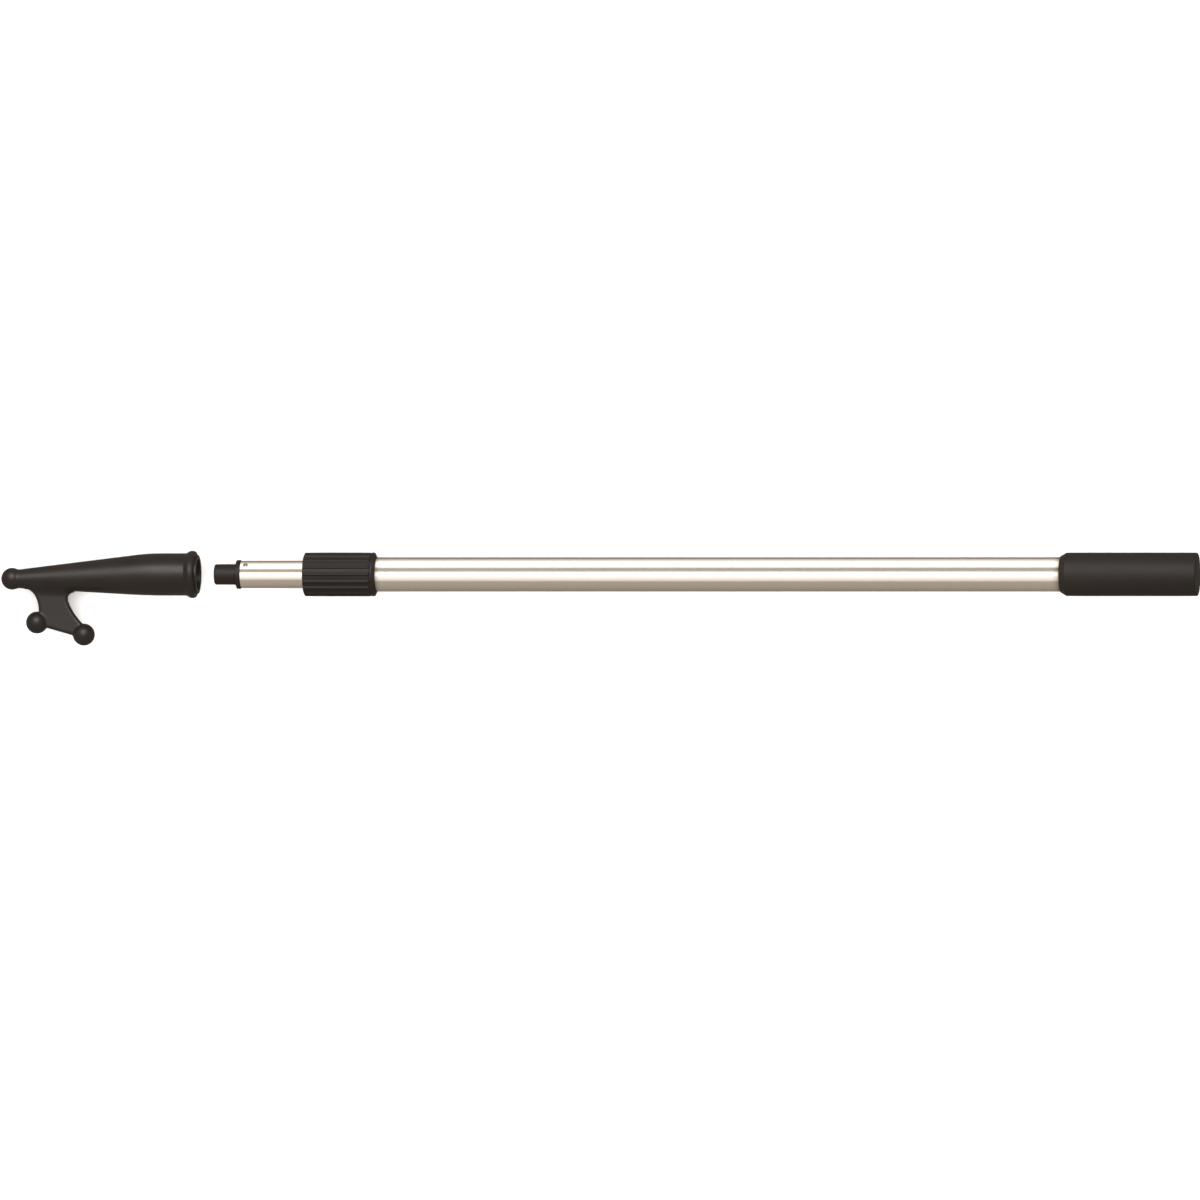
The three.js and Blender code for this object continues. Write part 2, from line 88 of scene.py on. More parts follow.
# ------------------------------------------------------------------ mesh helpers
def link(name, mesh, crease_degrees=30):
    """A smooth-shaded object, with edges sharper than the crease angle kept sharp."""
    mesh.shade_smooth()
    mesh.set_sharp_from_angle(angle=math.radians(crease_degrees))
    piece = bpy.data.objects.new(name, mesh)
    bpy.context.scene.collection.objects.link(piece)
    return piece


def rounded(corners, steps=6):
    """An outline's points, from corners given as (x, radius, fillet)."""
    points = []
    for i, (x, r, fillet) in enumerate(corners):
        here = Vector((x, r))
        if not fillet or i in (0, len(corners) - 1):
            points.append(here)
            continue
        back = (Vector(corners[i - 1][:2]) - here).normalized()
        on = (Vector(corners[i + 1][:2]) - here).normalized()
        half = back.angle(on) / 2
        reach = fillet / math.tan(half)
        middle = here + (back + on).normalized() * (fillet / math.sin(half))
        start = here + back * reach - middle
        sweep = start.angle_signed(here + on * reach - middle)
        for k in range(steps + 1):
            turn = -sweep * k / steps
            cosine, sine = math.cos(turn), math.sin(turn)
            arm = Vector((start.x * cosine - start.y * sine, start.x * sine + start.y * cosine))
            points.append(middle + arm)
    return points


def turned_mesh(name, outline, segments=SEGMENTS, swell=None):
    """A closed mesh turned about the X axis. The outline ends on the axis, or comes back to its own start.
    swell(x, r, angle) gives the radius where the piece isn't round."""
    made = bmesh.new()
    angles = [2 * math.pi * i / segments for i in range(segments)]
    rings = []
    for x, r in outline:
        if r < ON_AXIS:
            rings.append([made.verts.new((x, 0, 0))])
            continue
        radii = [swell(x, r, a) if swell else r for a in angles]
        rings.append(
            [made.verts.new((x, q * math.cos(a), q * math.sin(a))) for a, q in zip(angles, radii)]
        )
    if len(rings[0]) > 1:
        rings.append(rings[0])
    for one, two in zip(rings, rings[1:]):
        for i in range(segments):
            j = (i + 1) % segments
            loop = [one[i % len(one)], one[j % len(one)], two[j % len(two)], two[i % len(two)]]
            made.faces.new(list(dict.fromkeys(loop)))
    bmesh.ops.recalc_face_normals(made, faces=made.faces)
    mesh = bpy.data.meshes.new(name)
    made.to_mesh(mesh)
    made.free()
    return mesh


def turned(name, corners):
    """A turned piece from corners given as (x, radius, fillet)."""
    return link(name, turned_mesh(name, rounded(corners)))


def pipe(name, node, wall, edge):
    """A tube with softened ends in the place of a CAD tube."""
    rear, front = ends(node)
    radius = half_width(node)
    corners = [
        ((rear + front) / 2, radius - wall, 0),
        (rear, radius - wall, edge),
        (rear, radius, edge),
        (front, radius, edge),
        (front, radius - wall, edge),
        ((rear + front) / 2, radius - wall, 0),
    ]
    outline = rounded(corners, steps=3)[:-1]
    return link(name, turned_mesh(name, outline))


# ------------------------------------------------------------------ materials
class Look:
    """A material's node tree, with short ways to add and join nodes."""

    def __init__(self, name):
        self.material = bpy.data.materials.new(name)
        self.material.use_nodes = True
        self.nodes = self.material.node_tree.nodes
        self.links = self.material.node_tree.links
        self.shader = self.nodes["Principled BSDF"]
        self.place = self.nodes.new("ShaderNodeTexCoord").outputs["Object"]

    def feed(self, socket, value):
        if isinstance(value, bpy.types.NodeSocket):
            self.links.new(value, socket)
        else:
            socket.default_value = value

    def axis(self, letter):
        node = self.nodes.new("ShaderNodeSeparateXYZ")
        self.feed(node.inputs["Vector"], self.place)
        return node.outputs[letter]

    def stretch(self, scale):
        mapping = self.nodes.new("ShaderNodeMapping")
        self.feed(mapping.inputs["Vector"], self.place)
        mapping.inputs["Scale"].default_value = scale
        return mapping.outputs["Vector"]

    def noise(self, scale, detail=3, roughness=0.55, stretch=(1, 1, 1), distortion=0):
        node = self.nodes.new("ShaderNodeTexNoise")
        self.feed(node.inputs["Vector"], self.stretch(stretch))
        node.inputs["Scale"].default_value = scale
        node.inputs["Detail"].default_value = detail
        node.inputs["Roughness"].default_value = roughness
        node.inputs["Distortion"].default_value = distortion
        return node.outputs["Fac"]

    def cells(self, scale, stretch=(1, 1, 1)):
        node = self.nodes.new("ShaderNodeTexVoronoi")
        self.feed(node.inputs["Vector"], self.stretch(stretch))
        node.inputs["Scale"].default_value = scale
        return node.outputs["Distance"]

    def spread(self, value, low, high, to_low=0.0, to_high=1.0):
        node = self.nodes.new("ShaderNodeMapRange")
        self.feed(node.inputs["Value"], value)
        node.inputs["From Min"].default_value = low
        node.inputs["From Max"].default_value = high
        node.inputs["To Min"].default_value = to_low
        node.inputs["To Max"].default_value = to_high
        return node.outputs["Result"]

    def maths(self, operation, one, two):
        node = self.nodes.new("ShaderNodeMath")
        node.operation = operation
        self.feed(node.inputs[0], one)
        self.feed(node.inputs[1], two)
        return node.outputs["Value"]

    def mix(self, share, one, two):
        node = self.nodes.new("ShaderNodeMix")
        node.data_type = "RGBA"
        self.feed(node.inputs["Factor"], share)
        self.feed(node.inputs["A"], one)
        self.feed(node.inputs["B"], two)
        return node.outputs["Result"]

    def edges(self, low=0.53, high=0.6):
        """1 on the outer edges that handling rubs, 0 on flat faces."""
        pointiness = self.nodes.new("ShaderNodeNewGeometry").outputs["Pointiness"]
        return self.spread(pointiness, low, high)

    def bump(self, height, distance, under=None):
        node = self.nodes.new("ShaderNodeBump")
        node.inputs["Distance"].default_value = distance
        self.feed(node.inputs["Height"], height)
        if under is not None:
            self.feed(node.inputs["Normal"], under)
        return node.outputs["Normal"]

    def finish(self, color, roughness, normal, **plain):
        self.feed(self.shader.inputs["Base Color"], color)
        self.feed(self.shader.inputs["Roughness"], roughness)
        self.feed(self.shader.inputs["Normal"], normal)
        for name, value in plain.items():
            self.shader.inputs[name.replace("_", " ")].default_value = value
        return self.material


def anodised_tube(name, *meetings):
    """Drawn aluminium: long hairlines from the die, and painted shade where the tube meets a fixed moulding.
    Each meeting is the moulding's X and how far the painted shade reaches, with its direction."""
    look = Look(name)
    hairlines = look.noise(1, detail=3, roughness=0.6, stretch=(0.8, 1500, 1500))
    bands = look.noise(1, detail=2, stretch=(0.6, 200, 200))
    cloud = look.noise(14, detail=2)
    tone = look.mix(look.spread(bands, 0.3, 0.7), (0.86, 0.815, 0.765, 1), (0.9, 0.87, 0.835, 1))
    tone = look.mix(look.spread(cloud, 0.35, 0.75, 0, 0.3), tone, (0.85, 0.8, 0.74, 1))
    along = look.axis("X")
    # painted shade: the colour darkens to a dark brown-grey towards each moulding, standing in for the
    # moulding's shadow and dark reflection on the tube
    for meets, reach in meetings:
        painted_shade = look.spread(along, meets, meets + reach, 0.95, 0)
        this_side = look.spread(along, meets - reach / 4, meets - reach / 5, 0, 1)
        painted_shade = look.maths("MULTIPLY", painted_shade, this_side)
        tone = look.mix(look.maths("MULTIPLY", painted_shade, painted_shade), tone, (0.3, 0.27, 0.24, 1))
    drawn, hazy = look.spread(hairlines, 0.3, 0.7, 0.2, 0.24), look.spread(cloud, 0.3, 0.7, 0, 0.01)
    rough = look.maths("ADD", drawn, hazy)
    normal = look.bump(hairlines, 0.001 * MM)
    return look.finish(tone, rough, normal, Metallic=1.0)


def rivet_metal():
    """Dull steel rivet, lightly hammered by its setting tool."""
    look = Look("rivet_metal")
    dents = look.noise(900, detail=2)
    tone = look.mix(look.spread(dents, 0.35, 0.7), (0.3, 0.29, 0.28, 1), (0.42, 0.41, 0.4, 1))
    tone = look.mix(look.maths("MULTIPLY", look.edges(), 0.5), tone, (0.6, 0.59, 0.57, 1))
    rough = look.spread(dents, 0.3, 0.7, 0.26, 0.4)
    return look.finish(tone, rough, look.bump(dents, 0.03 * MM), Metallic=1.0)


def moulded(name, dark, light, worn, rough, gloss_level, grain, depth):
    """Black moulded plastic: a fine spark-eroded grain, faint flow clouds, and edges polished by handling."""
    wear = 0.35
    look = Look(name)
    fine = look.noise(grain, detail=5, roughness=0.6)
    pits = look.cells(grain * 0.8)
    flow = look.noise(26, detail=3, distortion=0.6)
    scuffs = look.noise(1, detail=4, roughness=0.65, stretch=(60, 700, 700))
    tone = look.mix(look.spread(flow, 0.3, 0.72), (*dark, 1), (*light, 1))
    rubbed = look.maths("MULTIPLY", look.edges(), look.spread(fine, 0.35, 0.65, wear * 0.4, wear))
    tone = look.mix(rubbed, tone, (*worn, 1))
    clouded = look.spread(flow, 0.3, 0.7, rough - 0.03, rough + 0.03)
    scuffed = look.maths("ADD", clouded, look.spread(scuffs, 0.5, 0.75, 0, 0.05))
    gloss = look.maths("SUBTRACT", scuffed, look.maths("MULTIPLY", rubbed, 0.12))
    normal = look.bump(pits, depth * 0.6, look.bump(fine, depth))
    return look.finish(tone, gloss, normal, Specular_IOR_Level=gloss_level)


def natural_acetal():
    """Off-white turned acetal, with the lathe's fine feed marks round it."""
    look = Look("acetal_natural")
    feed = look.noise(1, detail=2, stretch=(5200, 12, 12))
    cloud = look.noise(60, detail=3)
    tone = look.mix(look.spread(cloud, 0.3, 0.7), (0.72, 0.69, 0.62, 1), (0.8, 0.77, 0.71, 1))
    tone = look.mix(look.maths("MULTIPLY", look.edges(), 0.3), tone, (0.86, 0.84, 0.79, 1))
    return look.finish(tone, look.spread(feed, 0.3, 0.7, 0.34, 0.46), look.bump(feed, 0.01 * MM))


def seal_rubber():
    """Black rubber with a dusty bloom."""
    look = Look("seal_rubber")
    bloom = look.noise(300, detail=4)
    tone = look.mix(look.spread(bloom, 0.35, 0.75), (0.012, 0.012, 0.012, 1), (0.03, 0.029, 0.028, 1))
    return look.finish(tone, look.spread(bloom, 0.3, 0.7, 0.7, 0.85), look.bump(bloom, 0.03 * MM))


NYLON = moulded(
    "nylon_black",
    dark=(0.0155, 0.0122, 0.0116),
    light=(0.0205, 0.0165, 0.0155),
    worn=(0.07, 0.062, 0.057),
    rough=0.41,
    gloss_level=0.45,
    grain=1500,
    depth=0.01 * MM,
)
NYLON_MATT = moulded(
    "nylon_black_matt",
    dark=(0.015, 0.0118, 0.0112),
    light=(0.02, 0.016, 0.015),
    worn=(0.06, 0.053, 0.048),
    rough=0.55,
    gloss_level=0.38,
    grain=1300,
    depth=0.016 * MM,
)
GRIP = moulded(
    "grip_black",
    dark=(0.0165, 0.013, 0.0122),
    light=(0.022, 0.0175, 0.0165),
    worn=(0.055, 0.047, 0.042),
    rough=0.6,
    gloss_level=0.4,
    grain=1100,
    depth=0.018 * MM,
)
# Where the outer tube gets painted shade: behind the collar's rear and in front of the grip.
AT_COLLAR = (ends("lock_collar")[1], 6 * MM)
AT_GRIP = (ends("hand_grip")[0], -7 * MM)
OUTER_TUBE = anodised_tube("anodised_tube", AT_COLLAR, AT_GRIP)
INNER_TUBE = anodised_tube("anodised_inner_tube")
SLOT_LOOKS = {
    "anodised_tube": OUTER_TUBE,
    "rivet_metal": rivet_metal(),
    "nylon_black": NYLON,
    "grip_black": GRIP,
    "acetal_natural": natural_acetal(),
    "seal_rubber": seal_rubber(),
}


def dress(piece, slot, body, *stands_for, look=None):
    """Gives a new piece its material, from its slot unless another look is given, puts it under its body, and
    hides the CAD nodes that it stands for.
    """
    piece.data.materials.clear()
    piece.data.materials.append(look or SLOT_LOOKS[slot])
    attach(piece, body)
    if stands_for:
        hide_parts(*stands_for)
    return piece


# ------------------------------------------------------------------ camera and light
VIEW_TURN = math.radians(8.5)
VIEW_DISTANCE = 45.0
VIEW_MARGIN = 1.0029        # the picture's width over the object's
AIM = Vector((-558.5 * MM, -23.7 * MM, 0))

STUDIO_WARMTH = (1.0, 0.87, 0.715, 1)
DIM_BELOW, BRIGHT_ABOVE = 0.28, 0.43

# Name, lowest and highest angle in degrees, and brightness.
METAL_STRIPS = (
    ("metal_front", -11, 17, 1.4),
    ("metal_front_edge", -27, -11, 0.8),
    ("metal_front_rim", -44, -27, 0.56),
    ("metal_side", 49, 96, 1.4),
    ("metal_side_edge", 96, 120, 0.56),
)
MOULDING_STRIPS = (
    ("moulding_key", 13, 46, 5.4),
    ("moulding_fill", -14, 13, 0.35),
)
FLOOR_LIGHT_SIZE, FLOOR_LIGHT_HEIGHT, FLOOR_LIGHT = 8, 4, 3.2
FLOOR_HALF = 5.0
FLOOR_GAP = 0.2 * MM


def camera():
    """A long lens, far off, looking down on the pole from a little way towards its grip."""
    width = (cad_high.x - cad_low.x) * math.cos(VIEW_TURN) * VIEW_MARGIN
    lens = bpy.data.cameras.new("camera")
    lens.sensor_width = 36
    lens.lens = lens.sensor_width * VIEW_DISTANCE / width
    lens.clip_start = 0.1
    lens.clip_end = 200
    eye = bpy.data.objects.new("camera", lens)
    bpy.context.scene.collection.objects.link(eye)
    eye.location = AIM + VIEW_DISTANCE * Vector((math.sin(VIEW_TURN), 0, math.cos(VIEW_TURN)))
    eye.rotation_euler = (0, VIEW_TURN, 0)
    bpy.context.scene.camera = eye


def lit(lamp, pieces):
    """Keeps a lamp for these pieces only."""
    group = bpy.data.collections.new(lamp.name + "_receivers")
    for piece in pieces:
        group.objects.link(piece)
    lamp.light_linking.receiver_collection = group


def soft_box(name, size, radiance, color=(1, 0.985, 0.965)):
    """An unseen rectangular lamp of an even brightness."""
    data = bpy.data.lights.new(name, "AREA")
    data.shape = "RECTANGLE"
    data.size, data.size_y = size
    data.energy = radiance * math.pi * data.size * data.size_y
    data.color = color
    lamp = bpy.data.objects.new(name, data)
    bpy.context.scene.collection.objects.link(lamp)
    lamp.visible_camera = False
    return lamp


def strip(name, low, high, radiance, pieces, reach=1.6, length=5.0, x=CENTRE_X):
    """A soft box along the pole that fills the angles from low to high, turned from +Z towards +Y."""
    middle, spread = math.radians((low + high) / 2), math.radians(high - low)
    lamp = soft_box(name, (length, 2 * reach * math.tan(spread / 2)), radiance)
    lamp.location = (x, reach * math.sin(middle), reach * math.cos(middle))
    lamp.rotation_euler = (-middle, 0, 0)
    lit(lamp, pieces)


def surroundings():
    """A warm, even room, a little darker below the table."""
    world = bpy.data.worlds.new("studio")
    world.use_nodes = True
    nodes, links = world.node_tree.nodes, world.node_tree.links
    sky = nodes["Background"]
    sky.inputs["Color"].default_value = STUDIO_WARMTH
    split = nodes.new("ShaderNodeSeparateXYZ")
    links.new(nodes.new("ShaderNodeTexCoord").outputs["Generated"], split.inputs["Vector"])
    fade = nodes.new("ShaderNodeMapRange")
    fade.interpolation_type = "SMOOTHSTEP"
    fade.inputs["From Min"].default_value = -0.9
    fade.inputs["From Max"].default_value = 0.2
    fade.inputs["To Min"].default_value = DIM_BELOW
    fade.inputs["To Max"].default_value = BRIGHT_ABOVE
    links.new(split.outputs["Z"], fade.inputs["Value"])
    links.new(fade.outputs["Result"], sky.inputs["Strength"])
    bpy.context.scene.world = world


def studio(metal, black, floor):
    """Soft light all round, with strips for the metal, others for the mouldings, and a lamp for the floor."""
    surroundings()
    for name, low, high, radiance in METAL_STRIPS:
        strip(name, low, high, radiance, metal)
    for name, low, high, radiance in MOULDING_STRIPS:
        strip(name, low, high, radiance, black, reach=4.0, length=3.0, x=-1.0)
    overhead = soft_box("floor_light", (FLOOR_LIGHT_SIZE, FLOOR_LIGHT_SIZE), FLOOR_LIGHT, (1, 1, 1))
    overhead.location = (CENTRE_X, 0, FLOOR_LIGHT_HEIGHT)
    lit(overhead, [floor])
    scene = bpy.context.scene
    scene.view_settings.view_transform = "Standard"
    scene.view_settings.look = "None"


def ground():
    """A plain white table top, just below the head's rim."""
    mesh = bpy.data.meshes.new("floor")
    z = cad_low.z - FLOOR_GAP
    signs = ((-1, -1), (1, -1), (1, 1), (-1, 1))
    mesh.from_pydata([(CENTRE_X + i * FLOOR_HALF, j * FLOOR_HALF, z) for i, j in signs], [], [(0, 1, 2, 3)])
    floor = link("floor", mesh)
    look = Look("floor_white")
    paper = look.noise(40, detail=3)
    tone = look.mix(look.spread(paper, 0.3, 0.7), (0.93, 0.93, 0.93, 1), (0.95, 0.95, 0.95, 1))
    white = look.finish(tone, 0.9, look.bump(paper, 0.01 * MM), Specular_IOR_Level=0.0)
    floor.data.materials.append(white)
    floor.visible_glossy = False
    floor.visible_diffuse = False
    return floor


# ------------------------------------------------------------------ pole
GRIP_BEVEL = 5.6 * MM       # length of the bevel at the grip's front
GRIP_FRONT_LIP = 0.55 * MM
GRIP_END_WALL = 5.4 * MM

FLANGE_THICKNESS = 3.8 * MM
PLUG_CORE_FRONT, PLUG_CORE_REAR = 6.5 * MM, 7 * MM
PLUG_CORE_START, PLUG_CORE_TIP = 8 * MM, 6.3 * MM

RIVET_SEGMENTS = 40
RIVET_INNER_END = 9 * MM
RIVET_SHANK, RIVET_RIM, RIVET_CROWN = 1.5 * MM, 2.25 * MM, 1.25 * MM
RIVET_HEIGHT = 0.7 * MM
RIVET_HOLLOW = 0.8 * MM


def outer_tube():
    """The outer tube, with softened ends."""
    piece = pipe("outer_tube_fine", "outer_tube", TUBE_WALL, 0.3 * MM)
    return dress(piece, "anodised_tube", "outer_pole", "outer_tube")


def inner_tube():
    """The inner tube. It slides, so it gets no painted shade where the collar is at rest."""
    piece = pipe("inner_tube_fine", "inner_tube", TUBE_WALL, 0.35 * MM)
    return dress(piece, "anodised_tube", "inner_pole", "inner_tube", look=INNER_TUBE)


def hand_grip():
    """The grip: a bevelled sleeve with a flat closed end."""
    front, rear = ends("hand_grip")
    radius = half_width("hand_grip")
    bore = half_width("outer_tube") + CLEARANCE
    corners = [
        (rear, 0, 0),
        (rear, radius, 1.1 * MM),
        (front + GRIP_BEVEL, radius, 1.6 * MM),
        (front, bore + GRIP_FRONT_LIP, 0.25 * MM),
        (front, bore, 0.1 * MM),
        (rear - GRIP_END_WALL, bore, 0.5 * MM),
        (rear - GRIP_END_WALL, 0, 0),
    ]
    return dress(turned("hand_grip_fine", corners), "grip_black", "outer_pole", "hand_grip")


def tip_plug():
    """The plug in the inner tube's end: spigot, flange and hollow shank."""
    tip, rear = ends("tip_plug")
    shoulder = ends("inner_tube")[0] - CLEARANCE
    flange = shoulder - FLANGE_THICKNESS
    rim = half_width("tip_plug")
    shank = half_width("inner_tube") - TUBE_WALL - CLEARANCE
    corners = [
        (tip, 0, 0),
        (tip, SPIGOT_RADIUS, 1.6 * MM),
        (flange, SPIGOT_RADIUS, 0.5 * MM),
        (flange, rim, 0.6 * MM),
        (shoulder, rim, 0.3 * MM),
        (shoulder, shank, 0),
        (rear, shank, 1.0 * MM),
        (rear, PLUG_CORE_REAR, 0.4 * MM),
        (tip + PLUG_CORE_START, PLUG_CORE_FRONT, 1.5 * MM),
        (tip + PLUG_CORE_TIP, 0, 0),
    ]
    return dress(turned("tip_plug_fine", corners), "nylon_black", "inner_pole", "tip_plug", look=NYLON_MATT)


def tip_rivets():
    """Domed heads with a rolled edge, on the radius that each CAD rivet lies on."""
    for node in ("tip_rivet_1", "tip_rivet_2"):
        low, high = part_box(node)
        middle = (low + high) / 2
        lean = math.atan2(middle.z, middle.y)
        base = half_width("inner_tube") + 0.02 * MM
        corners = [
            (RIVET_INNER_END, 0, 0),
            (RIVET_INNER_END, RIVET_SHANK, 0.2 * MM),
            (base, RIVET_SHANK, 0),
            (base, RIVET_RIM, 0.12 * MM),
            (base + 0.28 * MM, RIVET_RIM - 0.1 * MM, 0.2 * MM),
            (base + RIVET_HEIGHT, RIVET_CROWN, 0.4 * MM),
            (base + RIVET_HEIGHT - 0.04 * MM, RIVET_HOLLOW, 0.12 * MM),
            (base - RIVET_HEIGHT, RIVET_HOLLOW - 0.05 * MM, 0.1 * MM),
            (base - RIVET_HEIGHT - 0.1 * MM, 0, 0),
        ]
        mesh = turned_mesh(node + "_fine", rounded(corners), RIVET_SEGMENTS)
        for vertex in mesh.vertices:
            along, y, z = vertex.co
            radial = along * math.cos(lean) - y * math.sin(lean)
            upright = along * math.sin(lean) + y * math.cos(lean)
            vertex.co = (middle.x + z, radial, upright)
        flip = bmesh.new()
        flip.from_mesh(mesh)
        bmesh.ops.recalc_face_normals(flip, faces=flip.faces)
        flip.to_mesh(mesh)
        flip.free()
        dress(link(node + "_fine", mesh), "rivet_metal", "inner_pole", node)


# ------------------------------------------------------------------ twist lock
RIBS = 18
RIB_SEGMENTS = 16           # facets round one rib
RIB_DEPTH = 1.1 * MM
RIB_CREST = 20.55 * MM
RIB_ROOT = RIB_CREST - RIB_DEPTH
RIB_FLOOR = 0.1             # how far up the wave a groove's floor reaches
RIB_SHAPE = 0.7
RIB_REAR_RUN, RIB_FRONT_RUN = 1.6 * MM, 1.3 * MM
NOSE_ROUND = 1.4 * MM       # how much the ribs drop at the nose

COLLAR_RIM = 20.3 * MM
COLLAR_LIP = 0.6 * MM       # length of the thin lip behind the rim
COLLAR_BAND = 3.4 * MM      # length of the plain band at the rear
RIB_SLOPE = 0.8 * MM

# Radii in the collar's bore, and where each step lies behind its nose.
NOSE_BORE, SEAL_RADIUS = 13.3 * MM, 15.8 * MM
CAVITY, RELIEF = 17.5 * MM, 18.3 * MM
SEAL_FRONT, SEAL_REAR, NOSE_REAR = 3.0 * MM, 6.0 * MM, 8.7 * MM
CAVITY_REAR, THREAD_FRONT, THREAD_REAR, SKIRT_FRONT = 32 * MM, 39 * MM, 48 * MM, 63 * MM

PITCH = 3 * MM
THREAD_STATION = 786.5 * MM
THREAD_DEPTH, THREAD_HALF, THREAD_FLANK = 0.7 * MM, 1.0 * MM, 0.5
THREAD_STEP = 0.25 * MM


def rib(angle):
    """0 in a groove, 1 on a rib's crest; one crest faces straight up."""
    wave = max(0.0, math.cos(RIBS * (angle - math.pi / 2)) - RIB_FLOOR) / (1 - RIB_FLOOR)
    return wave**RIB_SHAPE


def lock_collar():
    """The ribbed collar: outer surface with ribs, plain rim at the rear, and the stepped, threaded bore."""
    front, rear = ends("lock_collar")
    body_rear = rear - COLLAR_LIP
    band_front = body_rear - COLLAR_BAND
    rib_rear = band_front - RIB_SLOPE
    rib_front = front + 0.2 * MM
    bore = half_width("outer_tube") + CLEARANCE
    corners = [
        (rear, bore, 0),
        (rear, bore + 0.5 * MM, 0.1 * MM),
        (body_rear, 17.3 * MM, 0.3 * MM),
        (body_rear - 1.2 * MM, COLLAR_RIM, 1.0 * MM),
        (band_front, COLLAR_RIM, 0.5 * MM),
        (rib_rear, RIB_ROOT, 0),
    ]
    ribbed = [rib_rear - k * 0.25 * MM for k in range(1, 9)]
    ribbed += [front + 2.6 * MM - k * 0.2 * MM for k in range(12)]
    outline = rounded(corners) + [Vector((x, RIB_ROOT)) for x in ribbed]
    inside = [
        (front, RIB_CREST - 1.9 * MM, 0),
        (front, NOSE_BORE, 0.3 * MM),
        (front + SEAL_FRONT, NOSE_BORE, 0),
        (front + SEAL_FRONT, SEAL_RADIUS, 0),
        (front + SEAL_REAR, SEAL_RADIUS, 0),
        (front + SEAL_REAR, NOSE_BORE, 0),
        (front + NOSE_REAR, NOSE_BORE, 0),
        (front + NOSE_REAR, CAVITY, 0),
        (front + CAVITY_REAR, CAVITY, 0),
        (front + CAVITY_REAR, RELIEF, 0),
        (front + THREAD_FRONT, RELIEF, 0),
    ]
    outline += rounded(inside)
    thread_front, thread_rear = front + THREAD_FRONT, front + THREAD_REAR
    outline += [Vector((thread_front + k * THREAD_STEP, CAVITY)) for k in range(37)]
    behind = [(thread_rear, RELIEF, 0), (front + SKIRT_FRONT, RELIEF, 0), (front + SKIRT_FRONT, bore, 0)]
    outline += rounded(behind)

    def swell(x, r, angle):
        if abs(r - RIB_ROOT) < SAME:
            away_rear = (rib_rear - x) / RIB_REAR_RUN
            away_front = (x - rib_front) / RIB_FRONT_RUN
            rise = min(1.0, max(0.0, away_rear)) ** 0.5
            fall = 1 - (1 - min(1.0, max(0.0, away_front))) ** 2.2
            top = RIB_ROOT + RIB_DEPTH * rib(angle) * rise
            return min(top, RIB_CREST - NOSE_ROUND * (1 - fall))
        if abs(r - CAVITY) < SAME and thread_front - 1e-6 <= x <= thread_rear + 1e-6:
            turned_by = PITCH * angle / (2 * math.pi)
            off = (-x - THREAD_STATION + turned_by + PITCH / 2) % PITCH - PITCH / 2
            return r + min(THREAD_DEPTH, max(0.0, (THREAD_HALF - abs(off)) / THREAD_FLANK))
        return r

    mesh = turned_mesh("lock_collar_fine", outline, RIBS * RIB_SEGMENTS, swell)
    piece = link("lock_collar_fine", mesh, 42)
    return dress(piece, "nylon_black", "lock_nut", "lock_collar", look=NYLON_MATT)


# ------------------------------------------------------------------ hook head
HEAD_LOW, HEAD_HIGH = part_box("hook_head")
MOUTH = HEAD_HIGH.x
BALL = 10.2 * MM
TUBE_END = MOUTH - 46.8 * MM
NECK_END = MOUTH - 166.6 * MM
TUBE_RADIUS, NECK_RADIUS, NECK_DROP = 19.6 * MM, 8.9 * MM, 4 * MM
TIP_BALL = Vector((HEAD_LOW.x + BALL, -NECK_DROP, 0))
FRONT_BALL = Vector((MOUTH - 151.7 * MM, -44.6 * MM, 0))
REAR_BALL = Vector((MOUTH - 107.6 * MM, -55.8 * MM, 0))
WEB_HALF = 4.8 * MM
WEB_EDGE = 2.6 * MM
WEB_ROOT_Y = -6 * MM        # inside the body, where the outline closes
SHOULDER = 0.12             # share of the taper over which it begins

# The front throat is part of an ellipse, and the rear one is a curve that ends in the heel's arc.
THROAT, THROAT_X, THROAT_Y = (MOUTH - 162.7 * MM, -33.7 * MM), 13.1 * MM, 20.4 * MM
HEEL, HEEL_RADIUS = (MOUTH - 116.9 * MM, -22.8 * MM), 6.1 * MM
REAR_START = np.array((MOUTH - 109.2 * MM, -45.5 * MM))
REAR_BEND = np.array((MOUTH - 118.5 * MM, -36 * MM))
REAR_END = np.array((MOUTH - 122.8 * MM, -24.4 * MM))

# Fillets between the pieces of the blended shape.
WEB_FILLET, WEB_FILLET_DEEP, WEB_DEEP = 1.5 * MM, 5.5 * MM, 5 * MM
TIP_FILLET, PRONG_FILLET = 0.9 * MM, 1.4 * MM

NET_STEP, NET_STEP_QUICK = 0.95 * MM, 1.6 * MM
NET_MARGIN = 2 * MM

# Radii at the mouth, and depths behind it.
CUT = MOUTH - 30 * MM       # where the net ends and the turned rings begin
BEAD, GROOVE, LIP = 22.05 * MM, 17.4 * MM, 18.0 * MM
RECESS_RADIUS, RECESS_DEPTH = 14.2 * MM, 5 * MM
SOCKET_RADIUS, SOCKET_DEPTH = SPIGOT_RADIUS + CLEARANCE, 26.8 * MM
CORE_MOUTH, CORE_TIP, CORE_TAPER_END, CORE_END = 8.5 * MM, 7.5 * MM, 88 * MM, 91 * MM


